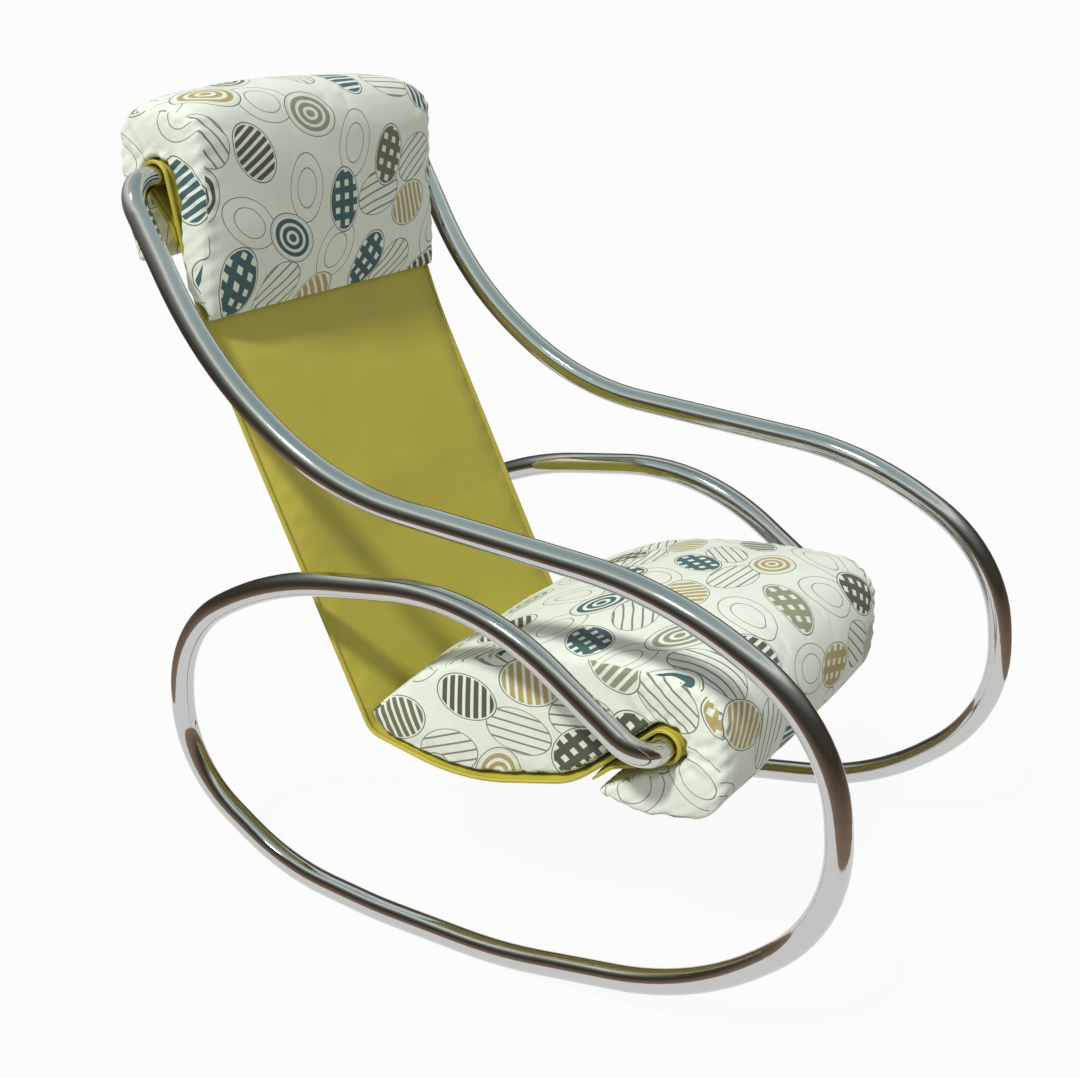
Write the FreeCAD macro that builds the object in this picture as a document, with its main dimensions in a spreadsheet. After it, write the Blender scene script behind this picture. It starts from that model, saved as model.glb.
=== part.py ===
"""A sling rocking chair: bent tube frame, padded sling, straddling headrest and hooked seat cushion.

The chair faces -Y and stands on Z 0. A place on its side view is given by two sizes: how far forward
of the origin it lies (towards -Y) and how high it is. The sitter's right is -X.
"""
import FreeCAD, Part
import math
import os

doc = FreeCAD.newDocument("sling_rocking_chair")

# Driving dimensions, in millimetres, apart from counts and shares
SIZES = {
    # Tube of the frame
    "tube_diameter": 30,
    "tube_wall": 2,
    "frame_width": 594,
    "crossbar_bend_radius": 38,
    # Corners of the frame's side view, from the top crossbar to the front crossbar
    "top_bar_forward": -440,
    "top_bar_height": 899,
    "back_forward": -334,
    "back_height": 699,
    "elbow_forward": -151,
    "elbow_height": 568,
    "arm_forward": 293,
    "arm_height": 534,
    "hand_forward": 479,
    "hand_height": 429,
    "front_forward": 503,
    "front_height": 211,
    "toe_forward": 339,
    "toe_height": 63,
    "runner_front_forward": 79,
    "runner_front_height": 15,
    "runner_middle_forward": -107,
    "runner_middle_height": 15,
    "runner_rear_forward": -256,
    "runner_rear_height": 27.5,
    "heel_forward": -426,
    "heel_height": 135,
    "tail_forward": -416,
    "tail_height": 335,
    "rail_forward": -245,
    "rail_height": 436,
    "knee_forward": 53,
    "knee_height": 479,
    "front_bar_forward": 266,
    "front_bar_height": 328,
    # Bends at the ends of the straight stretch of each runner that the chair rests on
    "rest_bend_radius": 600,
    # Spigots that join the two halves inside the crossbars, and their screws
    "spigot_length": 160,
    "spigot_clearance": 0.1,
    "screw_offset": 45,
    "screw_diameter": 5,
    "screw_length": 9,
    "screw_head_diameter": 9,
    "screw_head_height": 2.5,
    "screw_clearance": 0.1,
    # Sling: layers, loops and the corners of its side view
    "sling_end_gap": 9,
    "sling_back_thickness": 1.5,
    "sling_wadding_thickness": 5,
    "sling_face_thickness": 1.5,
    "layer_gap": 0.1,
    "bar_gap": 0.3,
    "welt_width": 6,
    "welt_thickness": 4,
    "top_loop_length": 62,
    "top_seam_allowance": 22,
    "front_loop_length": 78,
    "front_seam_allowance": 32,
    "loop_seam_radius": 30,
    "sling_back_forward": -388,
    "sling_back_height": 722,
    "crease_forward": -149,
    "crease_height": 230,
    "crease_radius": 34,
    "seat_low_forward": -6,
    "seat_low_height": 202,
    "sling_knee_forward": 151,
    "sling_knee_height": 245,
    "sling_knee_radius": 120,
    # Stitches: rows across the sling, and whip stitches under the seat cushion
    "stitch_diameter": 1.2,
    "stitch_length": 7,
    "stitch_pitch": 11,
    "whip_stitch_length": 9,
    "whip_stitch_count": 8,
    # Cushions: fit on the bars and the sling, cover and shape of the sides
    "cushion_end_gap": 8,
    "seat_clearance": 0.4,
    "cover_thickness": 1.6,
    "foam_gap": 0.1,
    # Headrest, measured from the middle of the top crossbar
    "headrest_front": 79,
    "headrest_rear": 63,
    "headrest_rise": 95,
    "headrest_front_drop": 169,
    "headrest_rear_drop": 108,
    "headrest_belly_drop": 20,
    "headrest_nape_drop": 30,
    "headrest_front_radius": 42,
    "headrest_rear_radius": 58,
    "headrest_crown": 9,
    "headrest_side_draw": 4,
    "headrest_front_hem": 12,
    "headrest_rear_hem": 24,
    "hem_radius": 5,
    # Seat cushion, measured from the front crossbar and from the sling
    "nose_front": 76,
    "nose_rise": 82,
    "nose_radius": 80,
    "nose_drop": 82,
    "nose_low_radius": 70,
    "flap_length": 113,
    "flap_depth": 17.5,
    "flap_hem": 11,
    "flap_low_back": 30,
    "flap_low_drop": 99,
    "top_front_back": 40,
    "top_front_rise": 85,
    "top_middle_forward": 65,
    "top_middle_rise": 194,
    "top_rear_forward": 76,
    "top_rear_rise": 106,
    "rear_end_rise": 14,
    "rear_end_gap": 4,
    "tip_setback": 3,
    "seat_crown": 20,
    "seat_side_draw": 7,
}

# Corners of the frame between the two crossbars, in the order of the tube
BENDS = ["back", "elbow", "arm", "hand", "front", "toe", "runner_front", "runner_middle", "runner_rear",
         "heel", "tail", "rail", "knee"]
REST_BENDS = ["runner_front", "runner_middle"]

# Where each cushion's cross-section is drawn, as shares of its half width
CUSHION_STATIONS = [-1, -0.85, -0.5, 0, 0.5, 0.85, 1]

# How much of its shorter run a bend may take up
BEND_SHARE = 0.47

WRAP_CORNERS = 3
LEAST_RUN = 1e-4
X_AXIS = FreeCAD.Vector(1, 0, 0)

sheet = doc.addObject("Spreadsheet::Sheet", "sizes")
for row, (alias, number) in enumerate(SIZES.items(), start=1):
    sheet.set(f"A{row}", alias)
    sheet.set(f"B{row}", str(number))
    sheet.setAlias(f"B{row}", alias)
doc.recompute()

nodes = []


def size(alias):
    """A driving dimension, as the sheet holds it."""
    return float(sheet.get(alias))


def bind(thing, **sizes):
    """Ties an object's properties to expressions in the sheet's sizes."""
    for name, expression in sizes.items():
        thing.setExpression(name, expression)
    return thing


def node(thing, label):
    """Marks an object as a finished piece of the chair."""
    thing.Label = label
    nodes.append(thing)
    return thing


def drawn(name, shape):
    """A line, outline or group of copies that part of the model is built on."""
    thing = doc.addObject("Part::Feature", name)
    thing.Shape = shape
    return thing


# Plane geometry of the side view

def side_point(forward, height):
    """A point of the side view, in the middle plane of the chair."""
    return FreeCAD.Vector(0, -forward, height)


def left_of(direction):
    """The direction a quarter turn to the left, seen with the chair's front to the right."""
    return FreeCAD.Vector(0, direction.z, -direction.y)


def turned(direction, angle):
    """A direction of the side view turned to the left by an angle in radians."""
    return direction * math.cos(angle) + left_of(direction) * math.sin(angle)


def unit(vector):
    """The direction of a vector."""
    return vector * (1 / vector.Length)


def left_turn(before, after):
    """The angle by which a path turns to the left, negative to the right."""
    return math.atan2(after.dot(left_of(before)), after.dot(before))


def directions(points, closed):
    """The direction of each run of a path."""
    ends = points[1:] + points[:1] if closed else points[1:]
    return [unit(end - start) for start, end in zip(points, ends)]


def corner_directions(points, closed):
    """For each corner of a path, the directions of the runs before and after it."""
    runs = directions(points, closed)
    if closed:
        return [(runs[i - 1], runs[i]) for i in range(len(points))]
    before = [runs[0]] + runs
    after = runs + [runs[-1]]
    return list(zip(before, after))


def widest_bend(before, corner, after):
    """The radius of a bend that takes up its whole share of the shorter of its two runs."""
    shorter = min((corner - before).Length, (after - corner).Length)
    angle = (corner - before).getAngle(after - corner)
    return BEND_SHARE * shorter / math.tan(angle / 2)


def bends(points, radii):
    """A closed outline's radii: as given, widest where none is given, and never wider than fits."""
    fitted = []
    for k, radius in enumerate(radii):
        widest = widest_bend(points[k - 1], points[k], points[(k + 1) % len(points)])
        fitted.append(widest if radius is None else min(radius, widest))
    return fitted


def parallel(points, radii, distance, closed=False):
    """A path that runs to the left of another at a steady distance."""
    moved = []
    changed = []
    for point, radius, (before, after) in zip(points, radii, corner_directions(points, closed)):
        angle = left_turn(before, after)
        aside = unit(left_of(before) + left_of(after))
        moved.append(point + aside * (distance / math.cos(angle / 2)))
        changed.append(max(radius - math.copysign(distance, angle), 0) if radius else 0)
    return moved, changed


def rounded_edges(points, radii, closed=False):
    """Straight runs and tangent arcs along a path whose corners are rounded."""
    edges = []
    stations = []
    for point, radius, (before, after) in zip(points, radii, corner_directions(points, closed)):
        angle = before.getAngle(after)
        if radius == 0 or angle < LEAST_RUN:
            stations.append((point, None, point))
            continue
        tangent = radius * math.tan(angle / 2)
        inward = unit(after - before)
        middle = point + inward * (radius / math.cos(angle / 2) - radius)
        stations.append((point - before * tangent, middle, point + after * tangent))
    for index, (start, middle, end) in enumerate(stations):
        previous = stations[index - 1][2]
        if (closed or index > 0) and (start - previous).Length > LEAST_RUN:
            edges.append(Part.LineSegment(previous, start).toShape())
        if middle is not None:
            edges.append(Part.Arc(start, middle, end).toShape())
    return edges


def outline(points, radii, across=0.0):
    """A closed outline with rounded corners, in the plane at that distance along X."""
    placed = [point + X_AXIS * across for point in points]
    return Part.Wire(Part.__sortEdges__(rounded_edges(placed, radii, closed=True)))


def band(points, radii, near, far):
    """The corners of a strip between two distances to the left of a path."""
    near_points, near_radii = parallel(points, radii, near)
    far_points, far_radii = parallel(points, radii, far)
    return near_points + far_points[::-1], near_radii + far_radii[::-1]


def wrap(centre, radius, arriving, leaving):
    """Corners of a path that goes clockwise round a circle from one direction to another."""
    whole = -left_turn(arriving, leaving)
    if whole < 0:
        whole += 2 * math.pi
    step = whole / WRAP_CORNERS
    reach = radius / math.cos(step / 2)
    return [centre + left_of(turned(arriving, -step * (k + 0.5))) * reach for k in range(WRAP_CORNERS)]


def arriving_at(centre, radius, start):
    """The direction from a point to a circle that the path then goes round clockwise."""
    return turned(unit(centre - start), math.asin(radius / (centre - start).Length))


def leaving_for(centre, radius, end):
    """The direction in which a path leaves a circle clockwise towards a point."""
    return turned(unit(end - centre), -math.asin(radius / (end - centre).Length))


# Frame: two mirrored halves of one bent tube

tube_radius = size("tube_diameter") / 2
side_plane = (size("frame_width") - size("tube_diameter")) / 2
bar_half = side_plane - size("crossbar_bend_radius")

frame_corners = [side_point(size("top_bar_forward"), size("top_bar_height"))]
for bend in BENDS:
    frame_corners.append(side_point(size(f"{bend}_forward"), size(f"{bend}_height")))
frame_corners.append(side_point(size("front_bar_forward"), size("front_bar_height")))


def tube_line(corners):
    """The middle line of the right half: in from the top bar's middle, out at the front bar's."""
    radii = [size("crossbar_bend_radius")]
    for bend, before, corner, after in zip(BENDS, corners, corners[1:], corners[2:]):
        widest = widest_bend(before, corner, after)
        radii.append(min(size("rest_bend_radius"), widest) if bend in REST_BENDS else widest)
    radii.append(size("crossbar_bend_radius"))
    points = [corner - X_AXIS * side_plane for corner in corners]
    points = [corners[0]] + points + [corners[-1]]
    return Part.Wire(rounded_edges(points, [0] + radii + [0]))


# The chair stands on the lowest point of its runners, so every height is lifted to match
lowest = tube_line(frame_corners).optimalBoundingBox(False, False).ZMin
FLOOR_LIFT = FreeCAD.Vector(0, 0, tube_radius - lowest)
frame_corners = [corner + FLOOR_LIFT for corner in frame_corners]
top_bar = frame_corners[0]
front_bar = frame_corners[-1]

half_line = drawn("right_tube_line", tube_line(frame_corners))


def swept_round(name, expression):
    """A round bar of the given radius along the right half's middle line."""
    section = doc.addObject("Part::Circle", f"{name}_section")
    section.Placement = FreeCAD.Placement(top_bar, FreeCAD.Rotation(FreeCAD.Vector(0, 0, 1), X_AXIS))
    bind(section, Radius=expression)
    sweep = doc.addObject("Part::Sweep", name)
    sweep.Sections = [section]
    sweep.Spine = (half_line, [f"Edge{k + 1}" for k in range(len(half_line.Shape.Edges))])
    sweep.Solid = True
    sweep.Frenet = False
    return sweep


def cut(name, base, tool):
    """One solid less another."""
    thing = doc.addObject("Part::Cut", name)
    thing.Base = base
    thing.Tool = tool
    return thing


def path_from_bar(bar, direction, along):
    """A point on the sling's inner side, that far from a crossbar along a run that leaves it."""
    return bar + left_of(direction) * loop_radius + direction * along


# Sling: its inner side, from the seam behind the top bar to the seam under the front bar

loop_radius = tube_radius + size("bar_gap")
sling_back = side_point(size("sling_back_forward"), size("sling_back_height")) + FLOOR_LIFT
crease = side_point(size("crease_forward"), size("crease_height")) + FLOOR_LIFT
seat_low = side_point(size("seat_low_forward"), size("seat_low_height")) + FLOOR_LIFT
sling_knee = side_point(size("sling_knee_forward"), size("sling_knee_height")) + FLOOR_LIFT

back_run = leaving_for(top_bar, loop_radius, sling_back)
top_seam = path_from_bar(top_bar, back_run, size("top_loop_length"))
top_seam -= left_of(back_run) * size("bar_gap")
top_end = top_seam + back_run * size("top_seam_allowance")
top_wrap = wrap(top_bar, loop_radius, arriving_at(top_bar, loop_radius, top_seam), back_run)

seat_run = arriving_at(front_bar, loop_radius, sling_knee)
front_seam = path_from_bar(front_bar, seat_run, -size("front_loop_length"))
front_seam -= left_of(seat_run) * size("bar_gap")
front_end = front_seam - seat_run * size("front_seam_allowance")
front_wrap = wrap(front_bar, loop_radius, seat_run, leaving_for(front_bar, loop_radius, front_seam))

sling_points = [top_end, top_seam] + top_wrap + [sling_back, crease, seat_low, sling_knee] + front_wrap
sling_points += [front_seam, front_end]
sling_radii = [0, size("loop_seam_radius")] + [loop_radius] * WRAP_CORNERS
sling_radii.append(widest_bend(top_wrap[-1], sling_back, crease))
sling_radii.append(size("crease_radius"))
sling_radii.append(widest_bend(crease, seat_low, sling_knee))
sling_radii += [size("sling_knee_radius")] + [loop_radius] * WRAP_CORNERS + [size("loop_seam_radius"), 0]

back_panel_top = size("sling_back_thickness")
wadding_low = back_panel_top + size("layer_gap")
wadding_top = wadding_low + size("sling_wadding_thickness")
face_low = wadding_top + size("layer_gap")
sling_thickness = face_low + size("sling_face_thickness")
sling_half = bar_half - size("sling_end_gap") - size("welt_width")


def strip(label, near, far, start, length_expression):
    """A layer of the sling: a strip between two distances from its inner side, drawn out along X."""
    corners, radii = band(sling_points, sling_radii, near, far)
    profile = drawn(f"{label}_profile", outline(corners, radii, start))
    layer = doc.addObject("Part::Extrusion", label)
    layer.Base = profile
    layer.DirMode = "Custom"
    layer.Dir = X_AXIS
    layer.Solid = True
    bind(layer, LengthFwd=length_expression)
    return node(layer, label)


BAR_STRAIGHT = "sizes.frame_width - sizes.tube_diameter - 2 * sizes.crossbar_bend_radius"
SLING_WIDTH = f"{BAR_STRAIGHT} - 2 * sizes.sling_end_gap - 2 * sizes.welt_width"
strip("sling_back_panel", 0, back_panel_top, -sling_half, SLING_WIDTH)
strip("sling_wadding", wadding_low, wadding_top, -sling_half, SLING_WIDTH)
strip("sling_face_panel", face_low, sling_thickness, -sling_half, SLING_WIDTH)

welt_low = (sling_thickness - size("welt_thickness")) / 2
welt_top = welt_low + size("welt_thickness")
strip("sling_welt_right", welt_low, welt_top, -sling_half - size("welt_width"), "sizes.welt_width")
strip("sling_welt_left", welt_low, welt_top, sling_half, "sizes.welt_width")


def seam_stitches(label, seam, end, run):
    """A row of stitches across the sling, on the outer side of a loop's sewn-down end."""
    radius = size("stitch_diameter") / 2
    outside = sling_thickness + radius + size("layer_gap")
    row = (seam + end) * 0.5 - left_of(run) * outside
    count = int(2 * (sling_half - size("stitch_length")) / size("stitch_pitch"))
    stitches = []
    for k in range(count):
        across = (k - (count - 1) / 2) * size("stitch_pitch") - size("stitch_length") / 2
        stitches.append(Part.makeCylinder(radius, size("stitch_length"), row + X_AXIS * across, X_AXIS))
    return node(drawn(label, Part.makeCompound(stitches)), label)


seam_stitches("sling_top_seam", top_seam, top_end, back_run)
seam_stitches("sling_front_seam", front_seam, front_end, seat_run)

# Spigots and screws inside the crossbars, with the screws between the two strands of each loop


def screw_places():
    """Each screw's place on its crossbar's axis, and the way its head faces."""
    for bar, seam in ((top_bar, top_seam), (front_bar, front_seam)):
        for side in (-1, 1):
            yield bar + X_AXIS * (side * size("screw_offset")), unit(seam - bar)


def screw(place, facing):
    """One round-headed screw, its head on the tube."""
    seat = place + facing * tube_radius
    shank_radius = size("screw_diameter") / 2
    shank = Part.makeCylinder(shank_radius, size("screw_length"), seat, -facing)
    head = Part.makeCylinder(size("screw_head_diameter") / 2, size("screw_head_height"), seat, facing)
    rim = size("screw_head_height") / 2
    return shank.fuse(head.makeFillet(rim, [head.Edges[0]])).removeSplitter()


def screw_hole(place, facing):
    """The clear way for one screw through the tube and into the spigot."""
    depth = size("screw_length") + size("screw_clearance")
    radius = size("screw_diameter") / 2 + size("screw_clearance")
    outside = place + facing * (tube_radius + size("screw_head_height"))
    return Part.makeCylinder(radius, depth + size("screw_head_height"), outside, -facing)


holes = drawn("screw_holes", Part.makeCompound([screw_hole(*place) for place in screw_places()]))
screws = Part.makeCompound([screw(*place) for place in screw_places()])
node(drawn("spigot_screws", screws), "spigot_screws")

tube_outside = swept_round("tube_outside", "sizes.tube_diameter / 2")
tube_inside = swept_round("tube_inside", "sizes.tube_diameter / 2 - sizes.tube_wall")
right_tube = cut("right_tube", cut("hollow_tube", tube_outside, tube_inside), holes)
node(right_tube, "right_frame_tube")
left_tube = doc.addObject("Part::Mirroring", "left_tube")
left_tube.Source = right_tube
left_tube.Normal = X_AXIS
node(left_tube, "left_frame_tube")


def spigot(label, bar):
    """A round bar inside a crossbar, across the joint of the two halves."""
    length = size("spigot_length")
    rod = doc.addObject("Part::Cylinder", f"{label}_rod")
    bind(rod, Radius="sizes.tube_diameter / 2 - sizes.tube_wall - sizes.spigot_clearance",
         Height="sizes.spigot_length")
    rod.Placement = FreeCAD.Placement(bar - X_AXIS * (length / 2),
                                      FreeCAD.Rotation(FreeCAD.Vector(0, 0, 1), X_AXIS))
    return node(cut(f"{label}_drilled", rod, holes), label)


spigot("top_bar_spigot", top_bar)
spigot("front_bar_spigot", front_bar)

# Cushions: crowned across the chair, with sides that draw in between their corners

cushion_half = bar_half - size("cushion_end_gap")
hole_radius = loop_radius + sling_thickness + size("seat_clearance")
cover = size("cover_thickness")
foam_inset = cover + size("foam_gap")


def crown(share):
    """How much of its full crown a cushion has, at a share of its half width."""
    return 1 - share ** 2


def loft(name, corners_at):
    """A solid through the outlines that a function gives at each station across the cushion."""
    sections = []
    for k, share in enumerate(CUSHION_STATIONS):
        points, radii = corners_at(share)
        sections.append(drawn(f"{name}_section_{k}", outline(points, radii, share * cushion_half)))
    thing = doc.addObject("Part::Loft", name)
    thing.Sections = sections
    thing.Solid = True
    thing.Ruled = False
    return thing


def side_tools(name, draw, box, axis, extra):
    """Two large cylinders that hollow a cushion's sides along its longest line, an extra depth in."""
    tools = []
    chord = max(box.YLength, box.ZLength) + cover
    reach = chord ** 2 / (8 * size(draw)) + size(draw) / 2
    for side, word in ((-1, "right"), (1, "left")):
        tool = doc.addObject("Part::Cylinder", f"{name}_{word}")
        bind(tool, Radius=f"{chord ** 2 / 8} / sizes.{draw} + sizes.{draw} / 2 + {extra}")
        tool.Height = 2 * chord
        middle = FreeCAD.Vector(side * (cushion_half - size(draw) + reach), box.Center.y, box.Center.z)
        turn = FreeCAD.Rotation(FreeCAD.Vector(0, 0, 1), axis)
        tool.Placement = FreeCAD.Placement(middle - axis * chord, turn)
        tools.append(tool)
    return tools


def both(name, tools):
    """Two tools as one."""
    thing = doc.addObject("Part::MultiFuse", name)
    thing.Shapes = tools
    return thing


def cushion(name, whole, parts, foam, draw, axis):
    """Cuts a cushion's lofts into side panels, cover panels and foam."""
    doc.recompute()
    box = whole.Shape.optimalBoundingBox(False, False)
    outer = side_tools(f"{name}_outer", draw, box, axis, "0")
    inner = side_tools(f"{name}_inner", draw, box, axis, "sizes.cover_thickness")
    within = side_tools(f"{name}_within", draw, box, axis, "sizes.cover_thickness + sizes.foam_gap")
    for word, thin, thick in zip(("right", "left"), outer, inner):
        panel = doc.addObject("Part::Common", f"{name}_panel_{word}")
        panel.Base = whole
        panel.Tool = cut(f"{name}_side_space_{word}", thick, thin)
        node(panel, f"{name}_side_{word}")
    inner_tools = both(f"{name}_inner_tools", inner)
    for label, part in parts.items():
        node(cut(f"{label}_trimmed", part, inner_tools), label)
    node(cut(f"{name}_foam_trimmed", foam, both(f"{name}_within_tools", within)), f"{name}_foam")


def inset(corners_at, distance):
    """A function for a closed outline set in from another all round."""
    return lambda share: parallel(*corners_at(share), distance, closed=True)


def panel(corners_at, start, end):
    """A function for a cover panel's outline: its outline between two corners, and back inside."""
    def corners(share):
        points, radii = corners_at(share)
        inner_points, inner_radii = parallel(points, radii, cover, closed=True)
        first = points.index(start)
        last = points.index(end)
        if last < first:
            last += len(points)
        stretch = [k % len(points) for k in range(first, last + 1)]
        back = stretch[::-1]
        return ([points[k] for k in stretch] + [inner_points[k] for k in back],
                [radii[k] for k in stretch] + [inner_radii[k] for k in back])
    return corners


# Headrest: a box bolster over the top bar, with a slot below for the sling

sling_face_line = Part.Wire(rounded_edges(*parallel(sling_points, sling_radii,
                                                    sling_thickness + size("seat_clearance"))))


def face_at(height):
    """The point at a height where the front of the sling's back would touch a pad."""
    behind = side_point(size("top_bar_forward"), height)
    ahead = side_point(size("knee_forward"), height)
    return sling_face_line.distToShape(Part.makeLine(behind, ahead))[1][0][0]


hem = size("hem_radius")
headrest_hem = face_at(top_bar.z - size("headrest_front_drop"))
slot_down = leaving_for(top_bar, hole_radius, headrest_hem)
slot_up = FreeCAD.Vector(0, 0, 1)
flap_inside = top_bar + left_of(slot_up) * hole_radius - slot_up * size("headrest_rear_drop")
lining_points = [flap_inside] + wrap(top_bar, hole_radius, slot_up, slot_down) + [headrest_hem]
lining_radii = [0] + [hole_radius] * WRAP_CORNERS + [0]


def headrest_outline(share):
    """The headrest's outline: from its front hem over the top to its rear hem, then up its slot."""
    swell = size("headrest_crown") * crown(share)
    front = -top_bar.y + size("headrest_front") + swell
    rear = -top_bar.y - size("headrest_rear") - swell / 2
    top = top_bar.z + size("headrest_rise") + swell
    front_hem = headrest_hem + side_point(size("headrest_front_hem"), 0)
    rear_hem = flap_inside - side_point(size("headrest_rear_hem"), 0)
    points = [headrest_hem, front_hem, side_point(front, top_bar.z - size("headrest_belly_drop")),
              side_point(front, top), side_point(rear, top),
              side_point(rear, top_bar.z - size("headrest_nape_drop")), rear_hem] + lining_points[:-1]
    radii = [0, hem, None, size("headrest_front_radius"), size("headrest_rear_radius"), None, hem]
    return points, bends(points, radii) + lining_radii[:-1]


cushion("headrest",
        loft("headrest_whole", headrest_outline),
        {"headrest_cover": loft("headrest_wrap", panel(headrest_outline, headrest_hem, flap_inside)),
         "headrest_slot_lining": loft("headrest_slot", panel(headrest_outline, flap_inside, headrest_hem))},
        loft("headrest_core", inset(headrest_outline, foam_inset)),
        "headrest_side_draw", FreeCAD.Vector(0, 1, 0))

# Seat cushion: a wedge in the hollow of the sling, its nose hooked round the front bar

lift = sling_thickness + size("seat_clearance")
under_points, under_radii = parallel(sling_points, sling_radii, lift)
first_under = sling_points.index(crease)
seat_direction = unit(seat_low - crease)
back_direction = unit(sling_back - crease)
crease_turn = left_turn(-back_direction, seat_direction)
crease_tangent = under_radii[first_under] * math.tan(crease_turn / 2)
seat_tip = under_points[first_under] + seat_direction * (crease_tangent + size("tip_setback"))
seat_rear = under_points[first_under] + back_direction * (crease_tangent + size("rear_end_rise"))
seat_rear += side_point(size("rear_end_gap"), 0)
flap_edge = path_from_bar(front_bar, seat_run, -size("flap_length"))
flap_edge -= left_of(seat_run) * size("flap_depth")
nose_wrap = wrap(front_bar, hole_radius, seat_run, leaving_for(front_bar, hole_radius, flap_edge))
base_points = [seat_tip] + under_points[first_under + 1:first_under + 3] + nose_wrap + [flap_edge]
base_radii = [0] + under_radii[first_under + 1:first_under + 3] + [hole_radius] * WRAP_CORNERS + [0]


def seat_outline(share):
    """The seat cushion's outline: under the flap, round the nose, over the top, then its underside."""
    swell = size("seat_crown") * crown(share)
    rise = FreeCAD.Vector(0, 0, swell)
    bar_forward = -front_bar.y
    nose = bar_forward + size("nose_front") + swell / 3
    flap_rear = flap_edge - side_point(0, size("flap_hem"))
    flap_low = side_point(bar_forward - size("flap_low_back"), front_bar.z - size("flap_low_drop"))
    nose_low = side_point(nose, front_bar.z - size("nose_drop"))
    nose_top = side_point(nose, front_bar.z + size("nose_rise")) + rise * 0.5
    top_front = side_point(bar_forward - size("top_front_back"), front_bar.z + size("top_front_rise"))
    top_front += rise
    top_middle = seat_low + side_point(size("top_middle_forward"), size("top_middle_rise")) + rise
    top_rear = crease + side_point(size("top_rear_forward"), size("top_rear_rise")) + rise * 0.5
    points = [flap_edge, flap_rear, flap_low, nose_low, nose_top, top_front, top_middle, top_rear]
    points += [seat_rear] + base_points[:-1]
    radii = [0, hem, None, size("nose_low_radius"), size("nose_radius"), None, None, None, hem]
    return points, bends(points, radii) + base_radii[:-1]


cushion("seat",
        loft("seat_whole", seat_outline),
        {"seat_cover_top": loft("seat_wrap", panel(seat_outline, flap_edge, seat_tip)),
         "seat_cover_base": loft("seat_base", panel(seat_outline, seat_tip, flap_edge))},
        loft("seat_core", inset(seat_outline, foam_inset)),
        "seat_side_draw", FreeCAD.Vector(0, 0, 1))


def whip_stitches():
    """Slanting stitches that close the cover under the flap, along both side seams."""
    radius = size("stitch_diameter") / 2
    points, _ = seat_outline(1)
    start, end = points[1], points[2]
    run = unit(end - start)
    below = left_of(run) * -(radius + size("layer_gap"))
    free = (end - start).Length * (1 - BEND_SHARE) - hem
    stitches = []
    for side in (-1, 1):
        slant = unit(X_AXIS * -side + run)
        edge = X_AXIS * (side * (cushion_half - size("seat_side_draw") - cover))
        for k in range(int(size("whip_stitch_count"))):
            along = hem + free * (k + 0.5) / size("whip_stitch_count")
            place = start + run * along + below + edge
            stitches.append(Part.makeCylinder(radius, size("whip_stitch_length"), place, slant))
    return Part.makeCompound(stitches)


node(drawn("seat_closing_stitches", whip_stitches()), "seat_closing_stitches")

doc.recompute()

# Every object has to be sound before anything is written
for thing in doc.Objects:
    faults = [state for state in thing.State if state in ("Invalid", "Error")]
    if faults:
        raise RuntimeError(f"{thing.Label} failed: {faults}")
for piece in nodes:
    if piece.Shape.isNull() or not piece.Shape.isValid() or not piece.Shape.Solids:
        raise RuntimeError(f"{piece.Label} has no sound shape")

os.makedirs("parts", exist_ok=True)
for piece in nodes:
    piece.Shape.exportStep(f"parts/{piece.Label}.step")
    print(piece.Label, len(piece.Shape.Solids), "solids", round(piece.Shape.Volume / 1000, 1), "cm3")
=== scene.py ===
import math
import bpy
import numpy as np
from mathutils import Matrix, Vector
from mathutils.bvhtree import BVHTree
from mathutils.kdtree import KDTree


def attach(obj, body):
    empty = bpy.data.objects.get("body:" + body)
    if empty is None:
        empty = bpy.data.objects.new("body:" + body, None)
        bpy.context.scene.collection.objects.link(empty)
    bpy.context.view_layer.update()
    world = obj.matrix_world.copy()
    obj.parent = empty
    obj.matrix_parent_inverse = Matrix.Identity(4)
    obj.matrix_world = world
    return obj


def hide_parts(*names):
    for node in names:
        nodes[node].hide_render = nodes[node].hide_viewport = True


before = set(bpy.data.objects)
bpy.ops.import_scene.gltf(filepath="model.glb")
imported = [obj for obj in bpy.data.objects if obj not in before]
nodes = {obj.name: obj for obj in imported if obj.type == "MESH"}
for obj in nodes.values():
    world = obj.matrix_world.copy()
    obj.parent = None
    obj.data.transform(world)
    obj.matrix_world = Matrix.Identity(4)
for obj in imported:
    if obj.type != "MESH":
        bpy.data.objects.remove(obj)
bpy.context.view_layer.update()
scene = bpy.context.scene


# Frame tubes: two bent halves of chromed steel tube, mirror images, that meet inside the sling's loops.
# Polished plating over smooth drawn tube, dulled a little by hands and dust.

def put(tree, kind, inputs=(), **options):
    """Adds a shader node, sets its options, and sets or links its inputs."""
    made = tree.nodes.new(kind)
    for option, value in options.items():
        setattr(made, option, value)
    for socket, value in dict(inputs).items():
        if isinstance(value, bpy.types.NodeSocket):
            tree.links.new(value, made.inputs[socket])
        else:
            made.inputs[socket].default_value = value
    return made


def maths(tree, operation, *values):
    """The result of one sum on values of the surface."""
    return put(tree, "ShaderNodeMath", enumerate(values), operation=operation).outputs["Value"]


def remap(tree, value, low, high, to_low=0.0, to_high=1.0):
    """A value stretched from one range to another and held inside it."""
    return put(tree, "ShaderNodeMapRange", {"Value": value, "From Min": low, "From Max": high,
                                            "To Min": to_low, "To Max": to_high}).outputs["Result"]


def blend(tree, share, low, high):
    """A colour between two others."""
    return put(tree, "ShaderNodeMix", {"Factor": share, 6: low, 7: high}, data_type="RGBA").outputs[2]


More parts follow.
